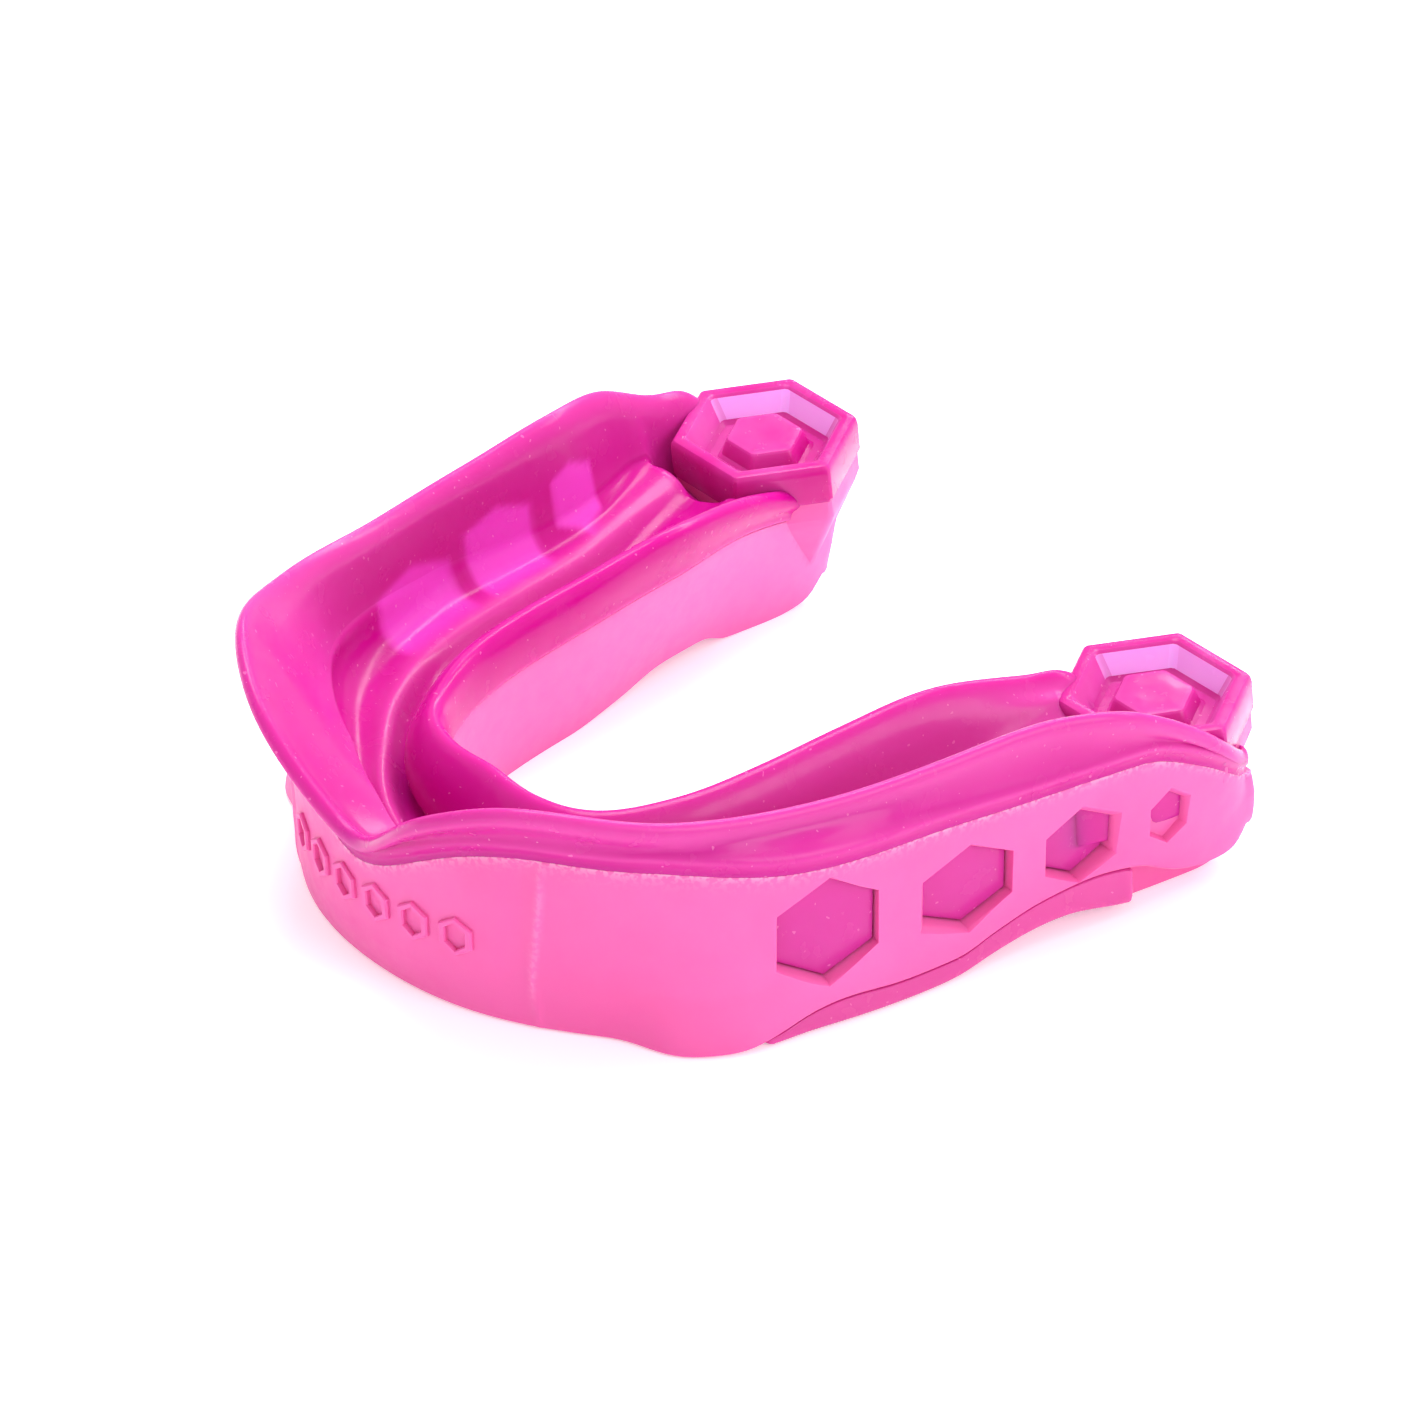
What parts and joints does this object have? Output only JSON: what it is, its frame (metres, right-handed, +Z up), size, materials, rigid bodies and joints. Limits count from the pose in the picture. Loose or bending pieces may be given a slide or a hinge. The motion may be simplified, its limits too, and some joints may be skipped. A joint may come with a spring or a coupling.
{
  "type": "mouthguard",
  "caption": "Boil-and-bite mouthguard: a firm curved frame with hexagonal side windows carries a soft translucent gel liner, with ringed molar pads and bite strips.",
  "frame": {"origin": "on the resting surface, under the middle of the bounding box", "axes": "+Z up, out of the tooth channel; -Y to the front of the arch; +X to the wearer's left"},
  "size_m": [0.066, 0.0674, 0.0215],
  "materials": {
    "frame_rubber": "opaque pink moulded elastomer, satin",
    "liner_gel": "translucent magenta gel, glossy",
    "pad_gel": "translucent magenta gel, glossy",
    "strip_gel": "translucent magenta gel, satin"
  },
  "bodies": {
    "root": {"shock_frame": "frame_rubber", "gel_liner": "liner_gel", "left_molar_pad": "pad_gel", "right_molar_pad": "pad_gel", "left_bite_strip": "strip_gel", "right_bite_strip": "strip_gel"}
  },
  "joints": []
}
